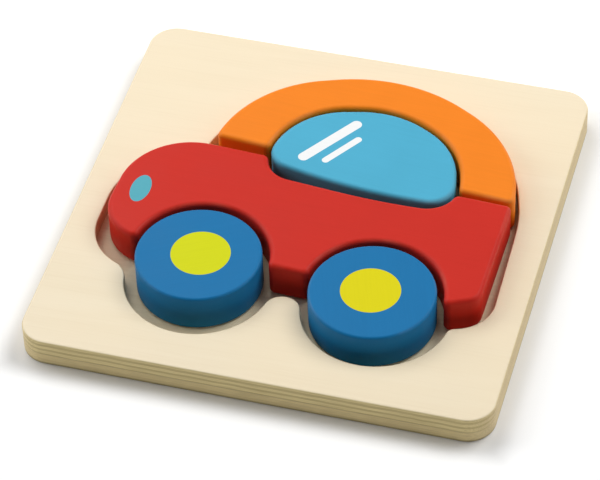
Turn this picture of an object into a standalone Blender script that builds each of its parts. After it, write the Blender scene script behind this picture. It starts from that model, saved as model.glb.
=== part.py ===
"""Wooden car puzzle: a square plywood tray with a car-shaped recess, and the five loose pieces of the car.

Metres, +Z up. The origin is the middle of the tray's underside, the front edge faces -Y and the car faces -X.
Outlines are first laid out for a car that stands straight and centred in its recess. The pieces then lie as
loose pieces do, pushed back and turned a little within their clearances.
"""
import math

import bpy
import numpy as np

for old in list(bpy.data.objects):
    bpy.data.objects.remove(old, do_unlink=True)

# Tray: a solid sheet glued under a frame sheet with the car cut out of it
TRAY_SIDE = 0.150
TRAY_CORNER_RADIUS = 0.009
TRAY_ARRIS = 0.0010
BACKING_THICKNESS = 0.0040
FRAME_THICKNESS = 0.0052
GLUE_LINE = 0.0003
RECESS_ARRIS = 0.0005

# All five pieces are sawn from one board and have the same softened edges
PIECE_THICKNESS = 0.0128
PIECE_ARRIS = 0.0015
PIECE_CORNER_RADIUS = 0.0021
SEAT_GAP = 0.0003

# Clearances: wheels to their notches, window to the roof, straight seams, and the whole car to its recess.
# The nose fits its recess more closely, and there is more room over the hood and under the belly.
WHEEL_CLEARANCE = 0.0020
WINDOW_CLEARANCE = 0.0018
SEAM_CLEARANCE = 0.0024
RECESS_CLEARANCE = 0.0030
NOSE_CLEARANCE = 0.0022
HOOD_ROOM = 0.0030
BELLY_ROOM = 0.0006

# Wheels
WHEEL_RADIUS = 0.02035
WHEEL_SPACING = 0.0566
WHEELS_MIDDLE_X = 0.0014
WHEELS_Y = -0.0366

# Car body: hood to the left, tail to the right
BODY_LEFT = -0.0631
BODY_RIGHT = 0.0617
BODY_SHOULDER_Y = 0.0125
BODY_BELLY_Y = -0.0353
HOOD_RADIUS = 0.0224
CHIN_RADIUS = 0.0160
TAIL_RISE = 0.0060
TAIL_RADIUS = 0.0060
TAIL_LEAN = 0.0017

# Window: a circle cut off by a straight sill, and the roof arch round it
WINDOW_RADIUS = 0.0310
WINDOW_X = 0.0096
WINDOW_Y = 0.0096
SILL_DROP = 0.0034
SILL_RADIUS = 0.0080
ROOF_RADIUS = 0.0524
ROOF_X = 0.0091
ROOF_Y = 0.0044

# The scoop has slanting sides and stops short of the roof's inner end at the left
SCOOP_LEAN = 0.0030
SCOOP_STOP = 0.0020

# Board left between the parts of the recess is rounded off, and its tail end is a wide round
RECESS_CORNER_RADIUS = 0.0030
RECESS_TAIL_RADIUS = 0.0130

# How the loose car lies: pushed by these shares of its clearances, and turned by these degrees
CAR_PUSH = np.array([0.464, 0.577])
CAR_TURN = -3.0
FRONT_WHEEL_PUSH = np.array([-0.05, 0.0])
REAR_WHEEL_PUSH = np.array([-0.05, 0.0])
WINDOW_PUSH = np.array([0.27, 0.45])
WINDOW_TURN = -2.5
ROOF_TURN = -1.1

# Arcs are drawn with chords that leave the true curve by no more than this
CHORD_ERROR = 0.00005
ARRIS_STEPS = 3

NOTCH_RADIUS = WHEEL_RADIUS+WHEEL_CLEARANCE
WELL_RADIUS = WHEEL_RADIUS+RECESS_CLEARANCE
ROOF_INNER_RADIUS = WINDOW_RADIUS+WINDOW_CLEARANCE
ROOF_END_Y = BODY_SHOULDER_Y+SEAM_CLEARANCE
SCOOP_FLOOR_Y = WINDOW_Y-SILL_DROP-SEAM_CLEARANCE
SCOOP_RADIUS = SILL_RADIUS+WINDOW_CLEARANCE
FRAME_BOTTOM = BACKING_THICKNESS+GLUE_LINE
FRAME_TOP = FRAME_BOTTOM+FRAME_THICKNESS
PIECE_BOTTOM = BACKING_THICKNESS+SEAT_GAP

ORIGIN = np.zeros(2)
RIGHT = np.array([1.0, 0.0])
UP = np.array([0.0, 1.0])
FRONT_WHEEL = np.array([WHEELS_MIDDLE_X-WHEEL_SPACING/2, WHEELS_Y])
REAR_WHEEL = np.array([WHEELS_MIDDLE_X+WHEEL_SPACING/2, WHEELS_Y])
CHIN = np.array([BODY_LEFT+CHIN_RADIUS, BODY_BELLY_Y+CHIN_RADIUS])
WINDOW = np.array([WINDOW_X, WINDOW_Y])
ROOF = np.array([ROOF_X, ROOF_Y])


def arc(centre, radius, first, last, turn):
    """Arc round a centre, from the ray through first to the ray through last; turn +1 is anticlockwise."""
    start = math.atan2(*(first-centre)[::-1])
    end = math.atan2(*(last-centre)[::-1])
    sweep = turn*((turn*(end-start)) % math.tau)
    step = 2*math.acos(1-CHORD_ERROR/radius)
    angle = start+np.linspace(0, sweep, max(2, math.ceil(abs(sweep)/step)+1))
    return centre+radius*np.column_stack([np.cos(angle), np.sin(angle)])


def circle(centre, radius):
    """Closed circle without a repeated point."""
    count = math.ceil(math.pi/math.acos(1-CHORD_ERROR/radius))
    angle = np.arange(count)*math.tau/count
    return centre+radius*np.column_stack([np.cos(angle), np.sin(angle)])


def on_line(centre, reach, point, direction, side):
    """Point of a line at a given distance from a centre, after (+1) or before (-1) its nearest point."""
    along = direction/np.linalg.norm(direction)
    foot = point+np.dot(centre-point, along)*along
    half = math.sqrt(max(reach**2-np.dot(foot-centre, foot-centre), 0.0))
    return foot+side*half*along


def meet(first, first_reach, second, second_reach, side):
    """Point at given distances from two centres, to the left (+1) or right (-1) going first to second."""
    span = np.linalg.norm(second-first)
    along = (second-first)/span
    reach = (span**2+first_reach**2-second_reach**2)/(2*span)
    half = math.sqrt(max(first_reach**2-reach**2, 0.0))
    return first+reach*along+side*half*np.array([-along[1], along[0]])


def round_corner(before, corner, after, radius):
    """Tangent arc that replaces the corner of a path."""
    back = (before-corner)/np.linalg.norm(before-corner)
    ahead = (after-corner)/np.linalg.norm(after-corner)
    half = math.acos(max(-1.0, min(1.0, float(np.dot(back, ahead)))))/2
    reach = radius/math.tan(half)
    centre = corner+(back+ahead)/np.linalg.norm(back+ahead)*radius/math.sin(half)
    turn = 1 if back[1]*ahead[0]-back[0]*ahead[1] > 0 else -1
    return arc(centre, radius, corner+back*reach, corner+ahead*reach, turn)


def round_corners(path):
    """Arcs for the inner corners of an open path of (x, y, radius)."""
    places = [np.array(corner[:2]) for corner in path]
    return [round_corner(places[i-1], places[i], places[i+1], path[i][2]) for i in range(1, len(path)-1)]


def without_repeats(parts):
    """Join arcs into one closed outline and drop points that coincide."""
    outline = np.vstack(parts)
    apart = np.linalg.norm(outline-np.roll(outline, 1, axis=0), axis=1) > CHORD_ERROR/5
    return outline[apart]


def tray_outline():
    """Square with rounded corners."""
    reach = TRAY_SIDE/2-TRAY_CORNER_RADIUS
    parts = []
    for x, y in ((-1, -1), (1, -1), (1, 1), (-1, 1)):
        centre = np.array([x, y])*reach
        if x == y:
            first, last = centre+x*RIGHT, centre+y*UP
        else:
            first, last = centre+y*UP, centre+x*RIGHT
        parts.append(arc(centre, TRAY_CORNER_RADIUS, first, last, 1))
    return without_repeats(parts)


def recess_outline():
    """The straight car's outline moved out by the recess clearance, with the board's own corners rounded."""
    corner = RECESS_CORNER_RADIUS
    chin = CHIN_RADIUS+NOSE_CLEARANCE
    roof = ROOF_RADIUS+RECESS_CLEARANCE
    left = BODY_LEFT-NOSE_CLEARANCE
    hood_y = BODY_SHOULDER_Y+RECESS_CLEARANCE+HOOD_ROOM
    belly_y = BODY_BELLY_Y-RECESS_CLEARANCE-BELLY_ROOM
    right = ROOF_X+roof

    # One round hump of board stands between the wheel wells and touches both
    drop = belly_y-WHEELS_Y
    hump_radius = ((WHEEL_SPACING/2)**2+drop**2-WELL_RADIUS**2)/(2*(WELL_RADIUS+drop))
    hump = np.array([WHEELS_MIDDLE_X, belly_y-hump_radius])

    chin_corner = meet(CHIN, chin+corner, FRONT_WHEEL, WELL_RADIUS+corner, -1)
    tail = np.array([right-RECESS_TAIL_RADIUS, belly_y+RECESS_TAIL_RADIUS])
    tail_corner = meet(REAR_WHEEL, WELL_RADIUS+corner, tail, RECESS_TAIL_RADIUS+corner, -1)
    hood_radius = HOOD_RADIUS+NOSE_CLEARANCE
    hood = np.array([left+hood_radius, hood_y-hood_radius])
    roof_corner = meet(ROOF, roof+corner, hood, hood_radius+corner, -1)
    return without_repeats([
        arc(CHIN, chin, CHIN-RIGHT, chin_corner, 1),
        arc(chin_corner, corner, CHIN, FRONT_WHEEL, -1),
        arc(FRONT_WHEEL, WELL_RADIUS, chin_corner, hump, 1),
        arc(hump, hump_radius, FRONT_WHEEL, REAR_WHEEL, -1),
        arc(REAR_WHEEL, WELL_RADIUS, hump, tail_corner, 1),
        arc(tail_corner, corner, REAR_WHEEL, tail, -1),
        arc(tail, RECESS_TAIL_RADIUS, tail_corner, tail+RIGHT, 1),
        arc(ROOF, roof, ROOF+RIGHT, roof_corner, 1),
        arc(roof_corner, corner, ROOF, hood, -1),
        arc(hood, hood_radius, roof_corner, hood-RIGHT, 1),
    ])


def body_outline():
    """Hood, two wheel notches, slanted tail, and the scoop that the window lies in."""
    corner = PIECE_CORNER_RADIUS
    belly = np.array([0.0, BODY_BELLY_Y+corner])
    notch_end = np.array([REAR_WHEEL[0]+NOTCH_RADIUS, BODY_BELLY_Y])
    tail_end = np.array([BODY_RIGHT, BODY_BELLY_Y+TAIL_RISE])
    slant = (tail_end-notch_end)/np.linalg.norm(tail_end-notch_end)
    inward = np.array([-slant[1], slant[0]])

    chin_foot = meet(CHIN, CHIN_RADIUS-corner, FRONT_WHEEL, NOTCH_RADIUS+corner, -1)
    front_foot = on_line(FRONT_WHEEL, NOTCH_RADIUS+corner, belly, RIGHT, 1)
    rear_foot = on_line(REAR_WHEEL, NOTCH_RADIUS+corner, belly, RIGHT, -1)
    tail_foot = on_line(REAR_WHEEL, NOTCH_RADIUS+corner, notch_end+inward*corner, slant, 1)

    lip_reach = math.sqrt(ROOF_INNER_RADIUS**2-(ROOF_END_Y-WINDOW_Y)**2)
    scoop_left = WINDOW_X-lip_reach+SCOOP_STOP
    scoop_right = WINDOW_X+lip_reach
    upper = round_corners([
        (*notch_end, 0.0),
        (*tail_end, TAIL_RADIUS),
        (BODY_RIGHT-TAIL_LEAN, BODY_SHOULDER_Y, corner),
        (scoop_right, BODY_SHOULDER_Y, corner),
        (scoop_right-SCOOP_LEAN, SCOOP_FLOOR_Y, SCOOP_RADIUS),
        (scoop_left+SCOOP_LEAN, SCOOP_FLOOR_Y, SCOOP_RADIUS),
        (scoop_left, BODY_SHOULDER_Y, corner),
        (BODY_LEFT, BODY_SHOULDER_Y, HOOD_RADIUS),
        (BODY_LEFT, CHIN[1], 0.0),
    ])
    return without_repeats([
        arc(CHIN, CHIN_RADIUS, CHIN-RIGHT, chin_foot, 1),
        arc(chin_foot, corner, 2*chin_foot-CHIN, FRONT_WHEEL, 1),
        arc(FRONT_WHEEL, NOTCH_RADIUS, chin_foot, front_foot, -1),
        arc(front_foot, corner, FRONT_WHEEL, front_foot-UP, 1),
        arc(rear_foot, corner, rear_foot-UP, REAR_WHEEL, 1),
        arc(REAR_WHEEL, NOTCH_RADIUS, rear_foot, tail_foot, -1),
        arc(tail_foot, corner, REAR_WHEEL, tail_foot-inward, 1),
        *upper,
    ])


def roof_outline():
    """Arch between two circles, the inner one higher, so that the arch is thinner at its top than at its ends."""
    corner = PIECE_CORNER_RADIUS
    ends = np.array([0.0, ROOF_END_Y+corner])
    outer_right = on_line(ROOF, ROOF_RADIUS-corner, ends, RIGHT, 1)
    outer_left = on_line(ROOF, ROOF_RADIUS-corner, ends, RIGHT, -1)
    inner_right = on_line(WINDOW, ROOF_INNER_RADIUS+corner, ends, RIGHT, 1)
    inner_left = on_line(WINDOW, ROOF_INNER_RADIUS+corner, ends, RIGHT, -1)
    return without_repeats([
        arc(outer_right, corner, outer_right-UP, 2*outer_right-ROOF, 1),
        arc(ROOF, ROOF_RADIUS, outer_right, outer_left, 1),
        arc(outer_left, corner, 2*outer_left-ROOF, outer_left-UP, 1),
        arc(inner_left, corner, inner_left-UP, WINDOW, 1),
        arc(WINDOW, ROOF_INNER_RADIUS, inner_left, inner_right, -1),
        arc(inner_right, corner, WINDOW, inner_right-UP, 1),
    ])


def window_outline():
    """Circle cut off by the sill, with both ends of the sill rounded."""
    sill = np.array([0.0, WINDOW_Y-SILL_DROP+SILL_RADIUS])
    sill_right = on_line(WINDOW, WINDOW_RADIUS-SILL_RADIUS, sill, RIGHT, 1)
    sill_left = on_line(WINDOW, WINDOW_RADIUS-SILL_RADIUS, sill, RIGHT, -1)
    return without_repeats([
        arc(sill_right, SILL_RADIUS, sill_right-UP, 2*sill_right-WINDOW, 1),
        arc(WINDOW, WINDOW_RADIUS, sill_right, sill_left, 1),
        arc(sill_left, SILL_RADIUS, 2*sill_left-WINDOW, sill_left-UP, 1),
    ])


def inset(outline, distance):
    """Move an anticlockwise outline inwards along the mitre of its two edges at each point."""
    edge = np.roll(outline, -1, axis=0)-outline
    edge /= np.linalg.norm(edge, axis=1)[:, None]
    after = np.column_stack([-edge[:, 1], edge[:, 0]])
    before = np.roll(after, 1, axis=0)
    mitre = (after+before)/(1+np.sum(after*before, axis=1))[:, None]
    return outline+mitre*distance


def quarter_round(radius):
    """Distances from the face and insets along a softened edge, from the wall to the face."""
    if radius == 0.0:
        return [(0.0, 0.0)]
    angles = np.linspace(0, math.pi/2, ARRIS_STEPS+1)
    return [(radius*(1-math.sin(a)), radius*(1-math.cos(a))) for a in angles]


def softened(low, high, bottom_arris, top_arris):
    """Heights and insets of a sheet's wall, quarter round at its bottom and top edges."""
    bottom = [(low+rise, depth) for rise, depth in quarter_round(bottom_arris)[::-1]]
    top = [(high-drop, depth) for drop, depth in quarter_round(top_arris)]
    return bottom+top


def material(name, colour, roughness):
    """Plain painted or bare wood."""
    new = bpy.data.materials.new(name)
    new.use_nodes = True
    shader = new.node_tree.nodes['Principled BSDF']
    shader.inputs['Base Color'].default_value = (*colour, 1.0)
    shader.inputs['Roughness'].default_value = roughness
    shader.inputs['Metallic'].default_value = 0.0
    return new


def sheet(name, outline, section, finish):
    """Closed solid: the outline repeated at each height and inset of the section, then capped."""
    rings = [np.column_stack([inset(outline, depth), np.full(len(outline), height)]) for height, depth in section]
    count = len(outline)
    faces = [list(range(count))[::-1]]
    for ring in range(len(rings)-1):
        for i in range(count):
            j = (i+1) % count
            faces.append([ring*count+i, ring*count+j, (ring+1)*count+j, (ring+1)*count+i])
    faces.append([(len(rings)-1)*count+i for i in range(count)])
    mesh = bpy.data.meshes.new(name)
    mesh.from_pydata(np.vstack(rings).tolist(), [], faces)
    mesh.shade_smooth()
    mesh.set_sharp_from_angle(angle=math.radians(40))
    mesh.materials.append(finish)
    made = bpy.data.objects.new(name, mesh)
    bpy.context.scene.collection.objects.link(made)
    return made


def loose_piece(name, outline, centre, push, turn, finish):
    """A piece sawn from the board, laid in the turned and pushed car with a push and a turn of its own."""
    section = softened(0.0, PIECE_THICKNESS, PIECE_ARRIS, PIECE_ARRIS)
    piece = sheet(name, outline-centre, section, finish)
    piece.parent = car_seat
    piece.location = (*(centre+push), PIECE_BOTTOM)
    piece.rotation_euler.z = math.radians(turn)
    return piece


plywood = material('pale_plywood', (0.89, 0.78, 0.59), 0.55)
backing_wood = material('backing_wood', (0.55, 0.44, 0.28), 0.65)
red_paint = material('red_paint', (0.64, 0.04, 0.03), 0.40)
orange_paint = material('orange_paint', (0.98, 0.26, 0.03), 0.40)
sky_paint = material('sky_blue_paint', (0.10, 0.45, 0.67), 0.40)
blue_paint = material('blue_paint', (0.02, 0.18, 0.46), 0.40)

tray = tray_outline()
sheet('backing_board', tray, softened(0.0, BACKING_THICKNESS, TRAY_ARRIS, 0.0), backing_wood)
frame = sheet('tray_frame', tray, softened(FRAME_BOTTOM, FRAME_TOP, 0.0, TRAY_ARRIS), plywood)

# The cutter stands past both faces of the frame and flares into the softened rim of the recess
rim = [(FRAME_TOP-drop, -depth) for drop, depth in quarter_round(RECESS_ARRIS)]
cutter_section = [(-PIECE_THICKNESS, 0.0), *rim, (FRAME_TOP+PIECE_THICKNESS, -RECESS_ARRIS)]
cutter = sheet('recess_cutter', recess_outline(), cutter_section, plywood)
cutter.hide_render = True
cutter.display_type = 'WIRE'
cut = frame.modifiers.new('recess', 'BOOLEAN')
cut.operation = 'DIFFERENCE'
cut.solver = 'EXACT'
cut.object = cutter

# The whole car lies in the recess as one layout, and each piece has a little play of its own in it
car_seat = bpy.data.objects.new('car_seat', None)
car_seat.location = (*(CAR_PUSH*RECESS_CLEARANCE), 0.0)
car_seat.rotation_euler.z = math.radians(CAR_TURN)
bpy.context.scene.collection.objects.link(car_seat)

loose_piece('car_body', body_outline(), ORIGIN, ORIGIN, 0.0, red_paint)
loose_piece('car_roof', roof_outline(), ROOF, ORIGIN, ROOF_TURN, orange_paint)
loose_piece('car_window', window_outline(), WINDOW, WINDOW_PUSH*WINDOW_CLEARANCE, WINDOW_TURN, sky_paint)
for name, middle, push in (('front_wheel', FRONT_WHEEL, FRONT_WHEEL_PUSH),
                           ('rear_wheel', REAR_WHEEL, REAR_WHEEL_PUSH)):
    loose_piece(name, circle(middle, WHEEL_RADIUS), middle, push*WHEEL_CLEARANCE, 0.0, blue_paint)
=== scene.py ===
"""The wooden car puzzle as it looks: a plywood tray, and the five painted pieces of a car lying in its recess.

Metres, +Z up, in the frame of the solids. Each piece stands for the solid of its name, and its outline lies
within two millimetres of that solid's.
"""
import math

import bpy
import numpy as np
from mathutils import Matrix, Vector
from mathutils.geometry import tessellate_polygon


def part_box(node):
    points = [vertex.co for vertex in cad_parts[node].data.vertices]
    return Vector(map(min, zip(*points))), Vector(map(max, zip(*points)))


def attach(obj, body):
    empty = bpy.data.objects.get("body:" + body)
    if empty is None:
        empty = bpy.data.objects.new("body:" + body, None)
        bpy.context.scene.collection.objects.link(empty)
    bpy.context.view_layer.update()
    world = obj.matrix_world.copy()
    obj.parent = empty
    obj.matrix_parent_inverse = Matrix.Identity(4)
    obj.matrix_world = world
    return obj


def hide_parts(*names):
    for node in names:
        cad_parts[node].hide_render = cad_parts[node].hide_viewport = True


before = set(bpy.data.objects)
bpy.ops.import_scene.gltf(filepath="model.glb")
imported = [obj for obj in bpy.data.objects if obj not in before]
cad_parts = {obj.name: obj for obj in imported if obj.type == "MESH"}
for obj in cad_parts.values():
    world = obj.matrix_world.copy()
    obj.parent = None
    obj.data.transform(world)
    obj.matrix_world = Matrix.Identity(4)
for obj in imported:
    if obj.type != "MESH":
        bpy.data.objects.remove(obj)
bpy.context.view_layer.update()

# Backing board: a thin sheet of plain tan plywood with rounded corners. It is glued under the frame sheet, so
# its top face is the floor of the recess, and its lower edge, eased with sandpaper, stands on the table. The
# edge is painted darker over its lowest 1.2 millimetres, as painted shade where it meets the table.
TRAY_CORNER = 0.009
TRAY_FOOT = 0.0004
GLUED_ARRIS = 0.00012
ARRIS_STEPS = 8
FLAT_BY_ARRIS = 0.0003
ARC_TURN_STEP = 0.09
ARC_LENGTH_STEP = 0.0005
SHORTEST_STEP = 0.00002
SHARP_ANGLE = math.radians(40)
WOOD_SPECULAR = 0.25
TAN_LIGHT = (0.95, 0.84, 0.60)
TAN_DARK = (0.88, 0.74, 0.50)
# Edge colours facing along Y and along X: the lighter, golden one is partly long grain, partly painted warm
# light
TAN_FRONT = (0.93, 0.76, 0.40)
TAN_SIDE = (0.74, 0.60, 0.36)
TAN_STREAK = (0.50, 0.38, 0.18)
# Painted shade at the foot of the edge: its colour, and the heights where it starts and where it is fullest
TAN_FOOT_SHADE = (0.20, 0.16, 0.08)
FOOT_SHADE_START_HEIGHT = 0.0012
FOOT_SHADE_FULL_HEIGHT = 0.0002
SQUARE = ((-1, -1), (1, -1), (1, 1), (-1, 1))


def belt(discs):
    """Outline that a belt takes round discs (x, y, radius): anticlockwise round a disc of positive radius,
    clockwise round one of negative radius, and straight along the common tangent from each disc to the next.
    The normal of that tangent is the line of centres turned back by acos((radius - next radius) / distance)."""
    discs = np.array(discs, float)
    centres, radii = discs[:, :2], discs[:, 2]
    span = np.roll(centres, -1, axis=0)-centres
    cosine = np.clip((radii-np.roll(radii, -1))/np.hypot(*span.T), -1.0, 1.0)
    leave = np.arctan2(span[:, 1], span[:, 0])-np.arccos(cosine)
    arrive = np.roll(leave, 1)
    sweep = np.sign(radii)*np.mod(np.sign(radii)*(leave-arrive), math.tau)
    arcs = []
    for centre, radius, start, swing in zip(centres, radii, arrive, sweep):
        steps = math.ceil(max(abs(swing)/ARC_TURN_STEP, abs(radius*swing)/ARC_LENGTH_STEP))
        angle = start+np.linspace(0.0, swing, steps+1)
        arcs.append(centre+radius*np.column_stack([np.cos(angle), np.sin(angle)]))
    outline = np.vstack(arcs)
    return outline[np.hypot(*(outline-np.roll(outline, 1, axis=0)).T) > SHORTEST_STEP]


def sanded_edge(low, high, low_arris, high_arris):
    """Section through the edge of a sheet, as columns of height, inset and softness. Each arris is a quarter
    circle: at angle a it lies r(1-sin a) from the face and r(1-cos a) in, and its softness is sin 2a. A short
    flat on either side of it keeps the shading of the faces flat."""
    angle = np.linspace(0.0, math.pi/2, ARRIS_STEPS+1)

    def arris(radius):
        drop = np.concatenate([[radius+FLAT_BY_ARRIS], radius*(1-np.sin(angle)), [0.0]])
        inset = np.concatenate([[0.0], radius*(1-np.cos(angle)), [radius+FLAT_BY_ARRIS]])
        soft = np.concatenate([[0.0], np.sin(2*angle), [0.0]])
        return np.column_stack([drop, inset, soft])

    top = arris(high_arris)
    bottom = arris(low_arris)[::-1]
    top[:, 0] = high-top[:, 0]
    bottom[:, 0] = low+bottom[:, 0]
    return np.vstack([bottom, top])


def wall(outline, section):
    """Carries a section round an outline: the point at (row, place) lies at the row's height, moved by the
    row's inset along the mitre of the two edges that meet at the place. With the edges' unit normals a and b,
    which point into the wood on the left of the way round, the mitre is (a + b) / (1 + a.b)."""
    edge = np.roll(outline, -1, axis=0)-outline
    edge /= np.hypot(*edge.T)[:, None]
    after = np.column_stack([-edge[:, 1], edge[:, 0]])
    before = np.roll(after, 1, axis=0)
    mitre = (after+before)/(1+np.sum(after*before, axis=1))[:, None]
    plan = outline[None]+section[:, 1, None, None]*mitre[None]
    height = np.broadcast_to(section[:, 0, None, None], (*plan.shape[:2], 1))
    return np.concatenate([plan, height], axis=2)


def sheet(name, edges, finish, body):
    """Closed sheet of wood: a wall along each edge, given as its outline and section, and two flat faces
    between the walls. The first edge is the outer one, anticlockwise; another is a hole's, clockwise.
    'softness' tells the paint where the sanded edges are, and 'sawn' is 1 on the walls of a hole, where the
    plywood's finish paints a shaded brown. The piece stands for the solid of its name."""
    points, faces, rims, soft, sawn = [], [], [], [], []
    first = 0
    for hole, (outline, section) in enumerate(edges):
        grid = wall(outline, section)
        rows, places = grid.shape[:2]
        number = first+np.arange(rows*places).reshape(rows, places)
        beside = np.roll(number, -1, axis=1)
        quads = np.stack([number[:-1], beside[:-1], beside[1:], number[1:]], axis=-1)
        faces += quads.reshape(-1, 4).tolist()
        points.append(grid.reshape(-1, 3))
        soft.append(np.repeat(section[:, 2], places))
        sawn.append(np.full(rows*places, float(hole > 0)))
        rims.append(number)
        first += rows*places
    points = np.vstack(points)
    for row, up in ((0, -1), (-1, 1)):
        rim = [number[row] for number in rims]
        filled = np.array(tessellate_polygon([[Vector(p) for p in points[loop]] for loop in rim]))
        flat = np.concatenate(rim)[filled]
        a, b, c = (points[flat[:, k], :2] for k in range(3))
        area = (b-a)[:, 0]*(c-a)[:, 1]-(b-a)[:, 1]*(c-a)[:, 0]
        faces += np.where((area*up > 0)[:, None], flat, flat[:, ::-1]).tolist()
    mesh = bpy.data.meshes.new(name)
    mesh.from_pydata(points.tolist(), [], faces)
    mesh.attributes.new('softness', 'FLOAT', 'POINT').data.foreach_set('value', np.concatenate(soft))
    mesh.attributes.new('sawn', 'FLOAT', 'POINT').data.foreach_set('value', np.concatenate(sawn))
    mesh.shade_smooth()
    mesh.set_sharp_from_angle(angle=SHARP_ANGLE)
    mesh.materials.append(finish)
    made = bpy.data.objects.new(name+'_finished', mesh)
    bpy.context.scene.collection.objects.link(made)
    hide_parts(name)
    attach(made, body)


def add(tree, kind, inputs, **settings):
    """Adds a shader node. An input is linked where its value is another node's output, and is set otherwise."""
    new = tree.nodes.new('ShaderNode'+kind)
    for name, value in settings.items():
        setattr(new, name, value)
    for key, value in inputs.items():
        if isinstance(value, bpy.types.NodeSocket):
            tree.links.new(value, new.inputs[key])
        else:
            new.inputs[key].default_value = value
    return new


def mixed(tree, share, first, second):
    """Colour between two colours, by a share from 0 to 1."""
    both = {0: share}
    for key, colour in ((6, first), (7, second)):
        both[key] = (*colour, 1.0) if isinstance(colour, tuple) else colour
    return add(tree, 'Mix', both, data_type='RGBA').outputs[2]


def maths(tree, operation, *values):
    """Number worked out from one, two or three numbers."""
    return add(tree, 'Math', dict(enumerate(values)), operation=operation).outputs[0]


def eased(tree, value, start, end, low=0.0, high=1.0):
    """Runs smoothly from low to high while the value goes from start to end."""
    inputs = {'Value': value, 'From Min': start, 'From Max': end, 'To Min': low, 'To Max': high}
    return add(tree, 'MapRange', inputs, interpolation_type='SMOOTHSTEP').outputs[0]


def fibres(tree, length, width, turn=0.0, offset=0.0, detail=3.0, distortion=0.0):
    """Noise drawn out to the length and width of the wood's fibres, along X or turned from it."""
    place = add(tree, 'TexCoord', {}).outputs['Object']
    stretched = add(tree, 'Mapping', {'Vector': place, 'Location': (offset, offset, offset),
                                      'Rotation': (0.0, 0.0, turn), 'Scale': (length, width, width)},
                    vector_type='TEXTURE').outputs[0]
    return add(tree, 'TexNoise', {'Vector': stretched, 'Scale': 1.0, 'Detail': detail, 'Roughness': 0.55,
                                  'Distortion': distortion}).outputs['Fac']


def new_finish(name, specular):
    """New material, with its node tree and its shader."""
    finish = bpy.data.materials.new(name)
    finish.use_nodes = True
    shader = finish.node_tree.nodes['Principled BSDF']
    shader.inputs['Specular IOR Level'].default_value = specular
    return finish, finish.node_tree, shader


tan_wood, tree, shader = new_finish('tan_plywood', WOOD_SPECULAR)
facing = add(tree, 'SeparateXYZ', {'Vector': add(tree, 'NewGeometry', {}).outputs['Normal']})
height = add(tree, 'SeparateXYZ', {'Vector': add(tree, 'TexCoord', {}).outputs['Object']}).outputs['Z']
long_grain = fibres(tree, length=0.030, width=0.0009)
streaks = fibres(tree, length=0.016, width=0.00045, offset=0.01, detail=2.0)
bands = fibres(tree, length=0.055, width=0.0060, offset=0.03, detail=2.0)
tan_face = mixed(tree, bands, TAN_DARK, TAN_LIGHT)
tan_face = mixed(tree, eased(tree, long_grain, 0.40, 0.80, high=0.16), tan_face, TAN_STREAK)
# Edges facing along Y are lighter and more golden than those facing along X: partly long grain against end
# grain, partly painted warm light on the front and back edges
sideways = maths(tree, 'MULTIPLY', facing.outputs['X'], facing.outputs['X'])
tan_edge = mixed(tree, sideways, TAN_FRONT, TAN_SIDE)
tan_edge = mixed(tree, eased(tree, streaks, 0.35, 0.75, high=0.30), tan_edge, TAN_STREAK)
# Painted shade: the edge darkens towards its foot, where it meets the table
tan_edge = mixed(tree, eased(tree, height, FOOT_SHADE_START_HEIGHT, FOOT_SHADE_FULL_HEIGHT, high=0.6), tan_edge, TAN_FOOT_SHADE)
level = maths(tree, 'ABSOLUTE', facing.outputs['Z'])
tree.links.new(mixed(tree, eased(tree, level, 0.5, 0.9), tan_edge, tan_face), shader.inputs['Base Color'])
tree.links.new(eased(tree, long_grain, 0.2, 0.8, low=0.58, high=0.76), shader.inputs['Roughness'])
tan_relief = add(tree, 'Bump', {'Height': long_grain, 'Strength': 0.4, 'Distance': 0.00012}).outputs[0]
tree.links.new(tan_relief, shader.inputs['Normal'])

board_low, board_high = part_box('backing_board')
corner = board_high.x-TRAY_CORNER
tray_outline = belt([(x*corner, y*corner, TRAY_CORNER) for x, y in SQUARE])
backing_section = sanded_edge(board_low.z, board_high.z, TRAY_FOOT, GLUED_ARRIS)
sheet('backing_board', [(tray_outline, backing_section)], tan_wood, 'tray')

# Tray frame: a sheet of pale birch plywood, sanded and lacquered, with the outline of the car sawn out of it.
# The recess follows the pieces with room to lift them out by hand. Its walls are painted a shaded brown, as
# the painted shade deep in the recess.
# The veneers show as stripes on the outer edge, and the ones that lie across the others are darker.
GLUE_GROOVE = 0.00005
TRAY_ARRIS = 0.0006
RECESS_ARRIS = 0.0005
RECESS_CORNER = 0.0030
CHIN_CORNER = 0.0080
ROOF_CORNER = 0.0018
ROOF_LEFT_CLEARANCE = 0.0018
RECESS_TAIL = 0.0130
RECESS_CLEARANCE = 0.0030
NOSE_CLEARANCE = 0.0026
HOOD_ROOM = 0.0034
HOOD_EASE = 0.0018
TAIL_ROOM = np.array([0.0007, 0.0009])
FRONT_WELL_SHIFT = np.array([0.0, -0.0006])
REAR_WELL_SHIFT = np.array([0.0005, -0.0004])
WELL_ROOM = 0.0035
HUMP_RADIUS = 0.0059
WHEEL_RADIUS = 0.01995
WHEEL_SPACING = 0.0566
WHEELS_MIDDLE_X = 0.0014
WHEELS_Y = -0.0366
BODY_LEFT = -0.0631
BODY_SHOULDER_Y = 0.0118
BODY_BELLY_Y = -0.0353
HOOD_RADIUS = 0.0229
CHIN_RADIUS = 0.0160
ROOF_RADIUS = 0.0524
ROOF = np.array([0.0091, 0.0044])
# A shoulder's distance from the middle of its arch, its angle in degrees, and its radius
ROOF_RIGHT = (0.0085, 40, 0.0447)
ROOF_LEFT = (0.0125, 134.5, 0.0407)
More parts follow.
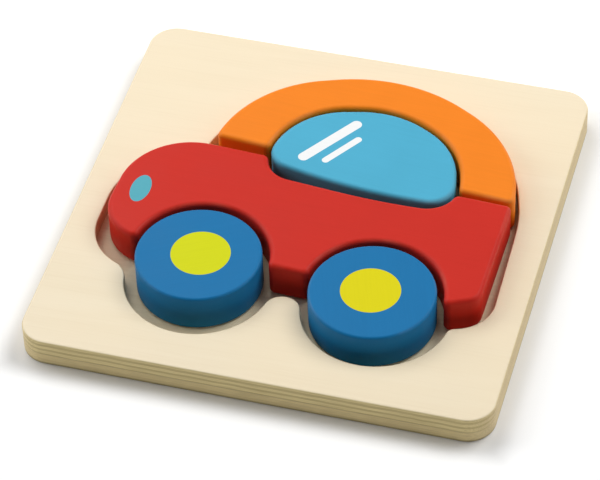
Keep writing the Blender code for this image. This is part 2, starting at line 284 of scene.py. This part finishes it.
# Heights at which the veneers across the grain start and end, how sharply, and how far those heights waver
CROSS_VENEERS = ((0.0040, 0.0045), (0.0058, 0.0066), (0.0077, 0.0086))
VENEER_BLUR = 0.00012
VENEER_WAVER = 0.0008
BIRCH_LIGHT = (0.93, 0.82, 0.62)
BIRCH_DARK = (0.865, 0.74, 0.525)
BIRCH_CLOUD = (0.925, 0.785, 0.555)
BIRCH_GRAIN = (0.70, 0.54, 0.34)
# Edge colours facing along Y and along X: the lighter, golden one is partly long grain, partly painted warm
# light
BIRCH_FRONT = (0.95, 0.79, 0.40)
BIRCH_SIDE = (0.72, 0.57, 0.34)
BIRCH_END = (0.62, 0.49, 0.22)
BIRCH_STREAK = (0.45, 0.33, 0.13)
# Painted shade on the walls of the recess
RECESS_SHADE_BROWN = (0.66, 0.42, 0.22)


def touching(first, first_reach, second, second_reach, side):
    """Point at given distances from two centres, to the left (+1) or right (-1) of the way between them."""
    span = second-first
    length = np.hypot(*span)
    along = (length**2+first_reach**2-second_reach**2)/(2*length)
    across = math.sqrt(max(first_reach**2-along**2, 0.0))
    return first+(along*span+side*across*np.array([-span[1], span[0]]))/length


def shoulder(middle, offset, growth=0.0):
    """Disc that makes an arch fuller on one side: its centre lies at a distance and angle from the middle."""
    distance, angle, radius = offset
    turn = math.radians(angle)
    return (middle[0]+distance*math.cos(turn), middle[1]+distance*math.sin(turn), radius+growth)


front_wheel = np.array([WHEELS_MIDDLE_X-WHEEL_SPACING/2, WHEELS_Y])
rear_wheel = np.array([WHEELS_MIDDLE_X+WHEEL_SPACING/2, WHEELS_Y])
chin = np.array([BODY_LEFT+CHIN_RADIUS, BODY_BELLY_Y+CHIN_RADIUS])
front_well = front_wheel+FRONT_WELL_SHIFT
rear_well = rear_wheel+REAR_WELL_SHIFT
well = WHEEL_RADIUS+WELL_ROOM
recess_chin = CHIN_RADIUS+NOSE_CLEARANCE
recess_roof = ROOF_RADIUS+RECESS_CLEARANCE
recess_left = np.array(shoulder(ROOF, ROOF_LEFT, ROOF_LEFT_CLEARANCE))
recess_hood = HOOD_RADIUS+NOSE_CLEARANCE+HOOD_EASE
hood = np.array([BODY_LEFT-NOSE_CLEARANCE+recess_hood, BODY_SHOULDER_Y+RECESS_CLEARANCE+HOOD_ROOM-recess_hood])
tail = np.array([ROOF[0]+recess_roof-RECESS_TAIL+TAIL_ROOM[0],
                 BODY_BELLY_Y-RECESS_CLEARANCE-TAIL_ROOM[1]+RECESS_TAIL])

# One round hump of board stands between the wheel wells and touches both
hump = touching(front_well, well+HUMP_RADIUS, rear_well, well+HUMP_RADIUS, -1)
chin_corner = touching(chin, recess_chin+CHIN_CORNER, front_well, well+CHIN_CORNER, -1)
tail_corner = touching(rear_well, well+RECESS_CORNER, tail, RECESS_TAIL+RECESS_CORNER, -1)
roof_corner = touching(recess_left[:2], recess_left[2]+ROOF_CORNER, hood, recess_hood+ROOF_CORNER, -1)
recess_outline = belt([
    (*chin, recess_chin), (*chin_corner, -CHIN_CORNER), (*front_well, well), (*hump, -HUMP_RADIUS),
    (*rear_well, well), (*tail_corner, -RECESS_CORNER), (*tail, RECESS_TAIL), (*ROOF, recess_roof),
    shoulder(ROOF, ROOF_RIGHT, RECESS_CLEARANCE), (*ROOF, recess_roof), tuple(recess_left),
    (*roof_corner, -ROOF_CORNER), (*hood, recess_hood)])

plywood, tree, shader = new_finish('pale_plywood', WOOD_SPECULAR)
place = add(tree, 'TexCoord', {}).outputs['Object']
height = add(tree, 'SeparateXYZ', {'Vector': place}).outputs['Z']
facing = add(tree, 'SeparateXYZ', {'Vector': add(tree, 'NewGeometry', {}).outputs['Normal']})
long_grain = fibres(tree, length=0.034, width=0.0008)
cross_grain = fibres(tree, length=0.026, width=0.0008, turn=math.pi/2, offset=0.05)
bands = fibres(tree, length=0.075, width=0.0080, turn=0.06, offset=0.02, detail=2.0, distortion=0.4)
streaks = fibres(tree, length=0.012, width=0.00025, offset=0.07, detail=3.0)
tone = add(tree, 'TexNoise', {'Vector': place, 'Scale': 14.0, 'Detail': 2.0}).outputs['Fac']
birch_face = mixed(tree, bands, BIRCH_DARK, BIRCH_LIGHT)
birch_face = mixed(tree, eased(tree, tone, 0.35, 0.65, high=0.5), birch_face, BIRCH_CLOUD)
birch_face = mixed(tree, eased(tree, long_grain, 0.45, 0.80, high=0.09), birch_face, BIRCH_GRAIN)

waver = add(tree, 'TexNoise', {'Vector': place, 'Scale': 120.0, 'Detail': 1.0}).outputs['Fac']
wavering = maths(tree, 'ADD', height, maths(tree, 'MULTIPLY_ADD', waver, VENEER_WAVER, -VENEER_WAVER/2))
cross = 0.0
for start, end in CROSS_VENEERS:
    above_start = eased(tree, wavering, start-VENEER_BLUR, start+VENEER_BLUR)
    above_end = eased(tree, wavering, end-VENEER_BLUR, end+VENEER_BLUR)
    cross = maths(tree, 'ADD', cross, maths(tree, 'SUBTRACT', above_start, above_end))
# Edges facing along Y are lighter and more golden than those facing along X: partly long grain against end
# grain, partly painted warm light on the front and back edges
sideways = maths(tree, 'MULTIPLY', facing.outputs['X'], facing.outputs['X'])
birch_edge = mixed(tree, sideways, BIRCH_FRONT, BIRCH_SIDE)
birch_edge = mixed(tree, maths(tree, 'MULTIPLY', cross, 0.70), birch_edge, BIRCH_END)
birch_edge = mixed(tree, eased(tree, streaks, 0.35, 0.70, high=0.35), birch_edge, BIRCH_STREAK)
# Painted shade: the recess walls are browned, for the shade deep in the recess
sawn = add(tree, 'Attribute', {}, attribute_name='sawn').outputs['Fac']
birch_edge = mixed(tree, maths(tree, 'MULTIPLY', sawn, 0.6), birch_edge, RECESS_SHADE_BROWN)
level = maths(tree, 'ABSOLUTE', facing.outputs['Z'])
birch = mixed(tree, eased(tree, level, 0.60, 0.98), birch_edge, birch_face)
tree.links.new(birch, shader.inputs['Base Color'])
tree.links.new(eased(tree, long_grain, 0.2, 0.8, low=0.42, high=0.56), shader.inputs['Roughness'])
birch_relief = maths(tree, 'ADD', long_grain, maths(tree, 'MULTIPLY', cross, cross_grain))
birch_relief = add(tree, 'Bump', {'Height': birch_relief, 'Strength': 0.3, 'Distance': 0.00008}).outputs[0]
tree.links.new(birch_relief, shader.inputs['Normal'])

frame_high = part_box('tray_frame')[1]
frame_section = sanded_edge(board_high.z+GLUE_GROOVE, frame_high.z, GLUED_ARRIS, TRAY_ARRIS)
recess_section = sanded_edge(board_high.z+GLUE_GROOVE, frame_high.z, GLUED_ARRIS, RECESS_ARRIS)
sheet('tray_frame', [(tray_outline, frame_section), (recess_outline[::-1], recess_section)], plywood, 'tray')

# Car body: sawn from a board of light hardwood, its edges sanded round, and painted a satin red that lets the
# grain show faintly. It has a notch for each wheel, a scoop for the window and a printed blue headlight.
PIECE_ARRIS = 0.0015
PIECE_CORNER = 0.0021
SHOULDER_CORNER = 0.0019
WHEEL_CLEARANCE = 0.0019
WINDOW_CLEARANCE = 0.0018
SEAM_CLEARANCE = 0.0026
BODY_RIGHT = 0.0620
FOOT_DROP = 0.0007
TAIL_RISE = 0.0050
TAIL_RADIUS = 0.0050
TAIL_LEAN = 0.0017
WINDOW = np.array([0.0096, 0.0096])
WINDOW_RADIUS = 0.0310
SILL_DROP = 0.0034
SILL_RADIUS = 0.0080
SCOOP_CLEARANCE = 0.0026
SCOOP_LEAN = 0.0030
SCOOP_STOP = 0.0020
# Where the scoop's floor bows out most, how far below a straight floor, and its radius there
SCOOP_LOW = (0.0190, 0.0016, 0.220)
CAR_PUSH = np.array([0.464, 0.577])*RECESS_CLEARANCE
CAR_TURN = math.radians(-3.0)
HEADLIGHT = (-0.0540, -0.0101)
HEADLIGHT_HALVES = (0.0032, 0.0061)
PRINT_BLUR = 0.00005
PRINT_HEIGHTS = (0.0120, 0.0125)
PRINT_THICKNESS = 0.5
PAINT_SPECULAR = 0.11
COAT_DARKER = 0.91
COAT_LIGHTER = 1.07
COAT_PALER = 0.004
INK_DARKER = 0.94
WORN_SHARE = 0.20
RED = (0.605, 0.023, 0.012)
HEADLIGHT_BLUE = (0.100, 0.430, 0.520)


def along_line(centre, reach, start, end, side):
    """Point of a line at a distance from a centre, beyond (+1) or before (-1) the centre's nearest point."""
    way = (end-start)/np.hypot(*(end-start))
    foot = start+np.dot(centre-start, way)*way
    return foot+side*math.sqrt(reach**2-np.sum((foot-centre)**2))*way


def in_corner(before, corner, after, radius):
    """Disc that rounds the corner between two lines; its radius is negative where the corner turns clockwise.
    Its centre lies on the bisector, radius / sin(half the corner) from the corner."""
    back = (before-corner)/np.hypot(*(before-corner))
    ahead = (after-corner)/np.hypot(*(after-corner))
    half = math.acos(np.dot(back, ahead))/2
    centre = corner+(back+ahead)/np.hypot(*(back+ahead))*radius/math.sin(half)
    turn = math.copysign(1.0, back[1]*ahead[0]-back[0]*ahead[1])
    return (*centre, turn*radius)


def turned(points, middle, angle):
    """Points turned about a middle."""
    c, s = math.cos(angle), math.sin(angle)
    return middle+(points-middle)@np.array([[c, s], [-s, c]])


def laid(outline, middle, push, turn):
    """Outline of a loose piece as it lies: turned and pushed in its own place, then with the whole car."""
    return turned(turned(outline, middle, turn)+push, np.zeros(2), CAR_TURN)+CAR_PUSH


def oval(tree, centre, halves):
    """Printed oval: 1 where the place, divided by the half widths, is within 1 of the centre, at any height."""
    place = add(tree, 'TexCoord', {}).outputs['Object']
    inside = add(tree, 'Mapping', {'Vector': place, 'Location': (*centre, 0.0), 'Scale': (*halves, 1e6)},
                 vector_type='TEXTURE').outputs[0]
    reach = add(tree, 'VectorMath', {0: inside}, operation='LENGTH').outputs['Value']
    blur = PRINT_BLUR/min(halves)
    return eased(tree, reach, 1+blur, 1-blur)


def paint(name, colour, turn, prints=()):
    """Satin paint on sanded wood. The grain shows through as a faint streak and relief, the coat varies a
    little, and it is thinner on the sanded edges. A print is a mask, its sizes and its colour, and lies on
    the upper face."""
    finish, tree, shader = new_finish(name, PAINT_SPECULAR)
    place = add(tree, 'TexCoord', {}).outputs['Object']
    height = add(tree, 'SeparateXYZ', {'Vector': place}).outputs['Z']
    grain = fibres(tree, length=0.022, width=0.0007, turn=turn, offset=0.04)
    clouds = add(tree, 'TexNoise', {'Vector': place, 'Scale': 60.0, 'Detail': 3.0}).outputs['Fac']
    speckle = add(tree, 'TexNoise', {'Vector': place, 'Scale': 2200.0, 'Detail': 2.0}).outputs['Fac']
    darker = tuple(COAT_DARKER*part for part in colour)
    lighter = tuple(min(1.0, COAT_LIGHTER*part+COAT_PALER) for part in colour)
    coat = mixed(tree, maths(tree, 'MULTIPLY_ADD', grain, 0.45, maths(tree, 'MULTIPLY', clouds, 0.55)),
                 darker, lighter)
    thin = tuple((1-WORN_SHARE)*part+WORN_SHARE*wood for part, wood in zip(colour, BIRCH_DARK))
    softness = add(tree, 'Attribute', {}, attribute_name='softness').outputs['Fac']
    rubbed = maths(tree, 'MULTIPLY', eased(tree, softness, 0.3, 1.0),
                   eased(tree, clouds, 0.45, 0.70, high=0.30))
    coat = mixed(tree, rubbed, coat, thin)
    relief = maths(tree, 'MULTIPLY_ADD', grain, 0.7, maths(tree, 'MULTIPLY', speckle, 0.3))
    upper = eased(tree, height, *PRINT_HEIGHTS)
    for mask, sizes, ink in prints:
        printed = maths(tree, 'MULTIPLY', mask(tree, *sizes), upper)
        coat = mixed(tree, printed, coat, mixed(tree, grain, tuple(INK_DARKER*part for part in ink), ink))
        relief = maths(tree, 'MULTIPLY_ADD', printed, PRINT_THICKNESS, relief)
    tree.links.new(coat, shader.inputs['Base Color'])
    rough = maths(tree, 'MULTIPLY_ADD', speckle, 0.10, eased(tree, clouds, 0.3, 0.7, low=0.34, high=0.42))
    tree.links.new(rough, shader.inputs['Roughness'])
    coat_relief = add(tree, 'Bump', {'Height': relief, 'Strength': 0.25, 'Distance': 0.00006}).outputs[0]
    tree.links.new(coat_relief, shader.inputs['Normal'])
    return finish


notch = WHEEL_RADIUS+WHEEL_CLEARANCE
roof_inner = WINDOW_RADIUS+WINDOW_CLEARANCE
roof_end_y = BODY_SHOULDER_Y+SEAM_CLEARANCE
scoop_floor_y = WINDOW[1]-SILL_DROP-SCOOP_CLEARANCE
scoop_radius = SILL_RADIUS+WINDOW_CLEARANCE
lip = math.sqrt(roof_inner**2-(roof_end_y-WINDOW[1])**2)
scoop_left, scoop_right = WINDOW[0]-lip+SCOOP_STOP, WINDOW[0]+lip

belly_left = np.array([0.0, BODY_BELLY_Y+PIECE_CORNER])
belly_right = np.array([1.0, BODY_BELLY_Y+PIECE_CORNER])
notch_end = np.array([rear_wheel[0]+notch, BODY_BELLY_Y-FOOT_DROP])
tail_end = np.array([BODY_RIGHT, BODY_BELLY_Y+TAIL_RISE])
slant = (tail_end-notch_end)/np.hypot(*(tail_end-notch_end))
inside = np.array([-slant[1], slant[0]])*PIECE_CORNER
chin_foot = touching(chin, CHIN_RADIUS-PIECE_CORNER, front_wheel, notch+PIECE_CORNER, -1)
front_foot = along_line(front_wheel, notch+PIECE_CORNER, belly_left, belly_right, 1)
rear_foot = along_line(rear_wheel, notch+PIECE_CORNER, belly_left, belly_right, -1)
tail_foot = along_line(rear_wheel, notch+PIECE_CORNER, notch_end+inside, tail_end+inside, 1)

# Corners from the tail round to the nose, each with its radius
upper_corners = np.array([
    (*notch_end, 0.0), (*tail_end, TAIL_RADIUS), (BODY_RIGHT-TAIL_LEAN, BODY_SHOULDER_Y, SHOULDER_CORNER),
    (scoop_right, BODY_SHOULDER_Y, PIECE_CORNER), (scoop_right-SCOOP_LEAN, scoop_floor_y, scoop_radius),
    (SCOOP_LOW[0], scoop_floor_y-SCOOP_LOW[1], SCOOP_LOW[2]),
    (scoop_left+SCOOP_LEAN, scoop_floor_y, scoop_radius), (scoop_left, BODY_SHOULDER_Y, PIECE_CORNER),
    (BODY_LEFT, BODY_SHOULDER_Y, HOOD_RADIUS), (BODY_LEFT, chin[1], 0.0)])
upper_discs = [in_corner(a[:2], b[:2], c[:2], b[2])
               for a, b, c in zip(upper_corners, upper_corners[1:], upper_corners[2:])]
body_outline = belt([
    (*chin, CHIN_RADIUS), (*chin_foot, PIECE_CORNER), (*front_wheel, -notch), (*front_foot, PIECE_CORNER),
    (*rear_foot, PIECE_CORNER), (*rear_wheel, -notch), (*tail_foot, PIECE_CORNER), *upper_discs])

piece_low, piece_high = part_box('car_body')
piece_section = sanded_edge(piece_low.z, piece_high.z, PIECE_ARRIS, PIECE_ARRIS)
red_paint = paint('red_paint', RED, CAR_TURN, [(oval, (HEADLIGHT, HEADLIGHT_HALVES), HEADLIGHT_BLUE)])
body_laid = laid(body_outline, np.zeros(2), np.zeros(2), 0.0)
sheet('car_body', [(body_laid, piece_section)], red_paint, 'body_piece')

# Car roof: an arch from the same board, painted orange. It is thinner at its top than at its two ends, which
# lie on the shoulders of the body, and the window lies inside it.
ROOF_TURN = math.radians(-1.5)
INNER_RIGHT = (0.0053, 42, 0.0280)
INNER_LEFT = (0.0075, 136, 0.0263)
ORANGE = (0.935, 0.240, 0.012)

ends_left = np.array([0.0, roof_end_y+PIECE_CORNER])
ends_right = np.array([1.0, roof_end_y+PIECE_CORNER])
arch_right = along_line(ROOF, ROOF_RADIUS-PIECE_CORNER, ends_left, ends_right, 1)
outer_left = np.array(shoulder(ROOF, ROOF_LEFT))
arch_left = along_line(outer_left[:2], outer_left[2]-PIECE_CORNER, ends_left, ends_right, -1)
inner_right = along_line(WINDOW, roof_inner+PIECE_CORNER, ends_left, ends_right, 1)
hollow_left = np.array(shoulder(WINDOW, INNER_LEFT))
hollow_right = np.array(shoulder(WINDOW, INNER_RIGHT))
inner_left = along_line(hollow_left[:2], hollow_left[2]+PIECE_CORNER, ends_left, ends_right, -1)
roof_outline = belt([
    (*arch_right, PIECE_CORNER), (*ROOF, ROOF_RADIUS), shoulder(ROOF, ROOF_RIGHT), (*ROOF, ROOF_RADIUS),
    tuple(outer_left), (*arch_left, PIECE_CORNER), (*inner_left, PIECE_CORNER),
    (*hollow_left[:2], -hollow_left[2]), (*WINDOW, -roof_inner), (*hollow_right[:2], -hollow_right[2]),
    (*WINDOW, -roof_inner), (*inner_right, PIECE_CORNER)])
orange_paint = paint('orange_paint', ORANGE, CAR_TURN+ROOF_TURN)
roof_laid = laid(roof_outline, ROOF, np.zeros(2), ROOF_TURN)
sheet('car_roof', [(roof_laid, piece_section)], orange_paint, 'roof_piece')

# Car window: a half-round piece from the same board, painted sky blue. Its sill bows out a little and has
# rounded ends. Two white strokes with round ends are printed on it as glints.
WINDOW_PUSH = np.array([0.27, 0.45])*WINDOW_CLEARANCE
WINDOW_TURN = math.radians(-2.5)
WINDOW_RIGHT = (0.0053, 42, 0.0262)
WINDOW_LEFT = (0.0075, 146, 0.0250)
# Where the sill bows out most, how far that lies above a straight sill, and its radius there
SILL = (0.0120, -0.0017, 0.180)
# Start, end and width of each stroke
WIDE_GLINT = ((-0.0085, 0.0148), (0.0062, 0.0362), 0.0036)
NARROW_GLINT = ((-0.0009, 0.0154), (0.0082, 0.0290), 0.0024)
SKY_BLUE = (0.080, 0.435, 0.635)
GLINT_WHITE = (0.96, 0.97, 0.97)


def stroke(tree, start, end, width):
    """Printed stroke with round ends: 1 where the distance from the line start to end is under half the width.
    With u along and v across it, that distance is the length of (max(|u| - half the line, 0), v)."""
    span = np.subtract(end, start)
    middle = np.add(start, end)/2
    place = add(tree, 'TexCoord', {}).outputs['Object']
    local = add(tree, 'Mapping', {'Vector': place, 'Location': (*middle, 0.0),
                                  'Rotation': (0.0, 0.0, math.atan2(span[1], span[0]))},
                vector_type='TEXTURE').outputs[0]
    local = add(tree, 'SeparateXYZ', {'Vector': local})
    half = (np.hypot(*span)-width)/2
    along = maths(tree, 'SUBTRACT', maths(tree, 'ABSOLUTE', local.outputs['X']), half)
    beyond = maths(tree, 'MAXIMUM', along, 0.0)
    flat = add(tree, 'CombineXYZ', {'X': beyond, 'Y': local.outputs['Y']}).outputs[0]
    distance = add(tree, 'VectorMath', {0: flat}, operation='LENGTH').outputs['Value']
    return eased(tree, distance, width/2+PRINT_BLUR, width/2-PRINT_BLUR)


sill = np.array([SILL[0], WINDOW[1]-SILL_DROP+SILL[1]+SILL[2]])
side_left = np.array(shoulder(WINDOW, WINDOW_LEFT))
sill_left = touching(sill, SILL[2]-SILL_RADIUS, side_left[:2], side_left[2]-SILL_RADIUS, -1)
sill_right = touching(sill, SILL[2]-SILL_RADIUS, WINDOW, WINDOW_RADIUS-SILL_RADIUS, 1)
window_outline = belt([
    (*sill_right, SILL_RADIUS), (*WINDOW, WINDOW_RADIUS), shoulder(WINDOW, WINDOW_RIGHT),
    (*WINDOW, WINDOW_RADIUS), tuple(side_left), (*sill_left, SILL_RADIUS), (*sill, SILL[2])])
sky_paint = paint('sky_blue_paint', SKY_BLUE, CAR_TURN+WINDOW_TURN,
                  [(stroke, WIDE_GLINT, GLINT_WHITE), (stroke, NARROW_GLINT, GLINT_WHITE)])
window_laid = laid(window_outline, WINDOW, WINDOW_PUSH, WINDOW_TURN)
sheet('car_window', [(window_laid, piece_section)], sky_paint, 'window_piece')

# Wheels: two round discs from the same board, painted blue, loose in their wells and in the body's notches.
# Each has a yellow disc printed on it, not quite in its middle. Both are one ink, and each disc's yellow is
# shifted a little as painted light, for the light falling differently on the two wheels.
WHEEL_NAMES = ('front_wheel', 'rear_wheel')
WHEEL_ARRIS = 0.0009
WHEEL_PUSHES = np.array([(-0.0003, -0.0004), (-0.00025, -0.00015)])
WHEEL_GRAIN_TURNS = (0.5, 1.9)
RIM_POINTS = 288
HUB_PLACES = np.array([(0.0006, 0.0004), (-0.00055, 0.0002)])
HUB_RADIUS = 0.00943
WHEEL_BLUE = (0.006, 0.172, 0.410)
# One ink on both wheels, painted a little differently as the light falls on each
HUB_YELLOWS_AS_LIT = ((0.700, 0.730, 0.004), (0.780, 0.700, 0.003))

angle = np.arange(RIM_POINTS)*math.tau/RIM_POINTS
rim = WHEEL_RADIUS*np.column_stack([np.cos(angle), np.sin(angle)])
wheel_section = sanded_edge(piece_low.z, piece_high.z, WHEEL_ARRIS, WHEEL_ARRIS)
for name, middle, push, turn, place, yellow in zip(
        WHEEL_NAMES, (front_wheel, rear_wheel), WHEEL_PUSHES, WHEEL_GRAIN_TURNS, HUB_PLACES, HUB_YELLOWS_AS_LIT):
    outline = laid(middle+rim, middle, push, 0.0)
    hub = (tuple(outline.mean(axis=0)+place), (HUB_RADIUS, HUB_RADIUS))
    blue_paint = paint(name+'_paint', WHEEL_BLUE, turn, [(oval, hub, yellow)])
    sheet(name, [(outline, wheel_section)], blue_paint, name+'_piece')

# Studio: a wide white floor and four soft square lamps, two low at the sides and two higher behind the corners.
# The world adds a little light, and is plain white where it is looked at. The floor glows towards white too
# where it is looked at, but only from a little beyond the tray on: the band next to the tray stays darker as
# painted shade, added to the tray's own shadow.
LAMP_SIZE = 0.70
LAMP_REACH = 1.20
# Azimuth and elevation of each lamp in degrees, and its watts
LAMPS = {'left': (90, 30, 5.7), 'right': (-90, 30, 1.8),
         'back_left': (135, 50, 5.4), 'back_right': (-135, 50, 8.0)}
WORLD_LIGHT = 0.10
FLOOR_REACH = 8.0
FLOOR_WHITE = 0.95
# The floor's glow when seen, and the distances out where it starts and is full; nearer the tray is painted
# shade
FLOOR_LIFT = 0.18
LIFT_START = 0.075
LIFT_END = 0.084


def when_seen(tree):
    """1 for the rays that look at a surface or see it mirrored, 0 for those that only light by it."""
    ray = add(tree, 'LightPath', {})
    mirrored = maths(tree, 'MAXIMUM', ray.outputs['Is Glossy Ray'], ray.outputs['Is Transmission Ray'])
    return maths(tree, 'MAXIMUM', ray.outputs['Is Camera Ray'], mirrored)


floor_mesh = bpy.data.meshes.new('floor')
floor_mesh.from_pydata([(x*FLOOR_REACH, y*FLOOR_REACH, 0.0) for x, y in SQUARE], [], [(0, 1, 2, 3)])
floor = bpy.data.objects.new('floor', floor_mesh)
bpy.context.scene.collection.objects.link(floor)
floor_finish, tree, shader = new_finish('white_floor', 0.0)
shader.inputs['Base Color'].default_value = (FLOOR_WHITE, FLOOR_WHITE, FLOOR_WHITE, 1.0)
shader.inputs['Roughness'].default_value = 0.9
shader.inputs['Emission Color'].default_value = (1.0, 1.0, 1.0, 1.0)
place = add(tree, 'SeparateXYZ', {'Vector': add(tree, 'TexCoord', {}).outputs['Object']})
out = maths(tree, 'MAXIMUM', maths(tree, 'ABSOLUTE', place.outputs['X']),
            maths(tree, 'ABSOLUTE', place.outputs['Y']))
# Painted light and shade: the floor glows when seen, except in a band next to the tray, which stays darker
lift = eased(tree, out, LIFT_START, LIFT_END, high=FLOOR_LIFT)
tree.links.new(maths(tree, 'MULTIPLY', when_seen(tree), lift), shader.inputs['Emission Strength'])
floor_mesh.materials.append(floor_finish)

for name, (azimuth, elevation, watts) in LAMPS.items():
    turn, rise = math.radians(azimuth), math.radians(elevation)
    way = Vector((-math.sin(turn)*math.cos(rise), -math.cos(turn)*math.cos(rise), math.sin(rise)))
    spot = way*LAMP_REACH
    lamp = bpy.data.lights.new(name+'_lamp', 'AREA')
    lamp.size = LAMP_SIZE
    lamp.energy = watts
    lamp_object = bpy.data.objects.new(name+'_lamp', lamp)
    lamp_object.matrix_world = Matrix.Translation(spot) @ (-spot).to_track_quat('-Z', 'Y').to_matrix().to_4x4()
    bpy.context.scene.collection.objects.link(lamp_object)

world = bpy.data.worlds.new('studio')
bpy.context.scene.world = world
world.use_nodes = True
tree = world.node_tree
tree.nodes.clear()
strength = maths(tree, 'MULTIPLY_ADD', when_seen(tree), 1.0-WORLD_LIGHT, WORLD_LIGHT)
light = add(tree, 'Background', {'Color': (1.0, 1.0, 1.0, 1.0), 'Strength': strength})
add(tree, 'OutputWorld', {'Surface': light.outputs[0]})

# Camera: a long lens from 45 degrees up and 17 degrees to the right of the tray's front, tilted a little
CAMERA_LENS = 192.6
CAMERA_AIM = Vector((-0.00077, -0.01319, 0.0095))
CAMERA_DISTANCE = 1.0131
CAMERA_AZIMUTH = math.radians(17.06)
CAMERA_ELEVATION = math.radians(45.05)
CAMERA_TILT = math.radians(-2.28)

camera = bpy.data.cameras.new('camera')
camera.lens = CAMERA_LENS
camera_object = bpy.data.objects.new('camera', camera)
bpy.context.scene.collection.objects.link(camera_object)
camera_object.matrix_world = (
    Matrix.Translation(CAMERA_AIM) @ Matrix.Rotation(CAMERA_AZIMUTH, 4, 'Z')
    @ Matrix.Rotation(math.pi/2-CAMERA_ELEVATION, 4, 'X') @ Matrix.Rotation(CAMERA_TILT, 4, 'Z')
    @ Matrix.Translation((0, 0, CAMERA_DISTANCE)))
bpy.context.scene.camera = camera_object
bpy.context.scene.view_settings.view_transform = 'Standard'
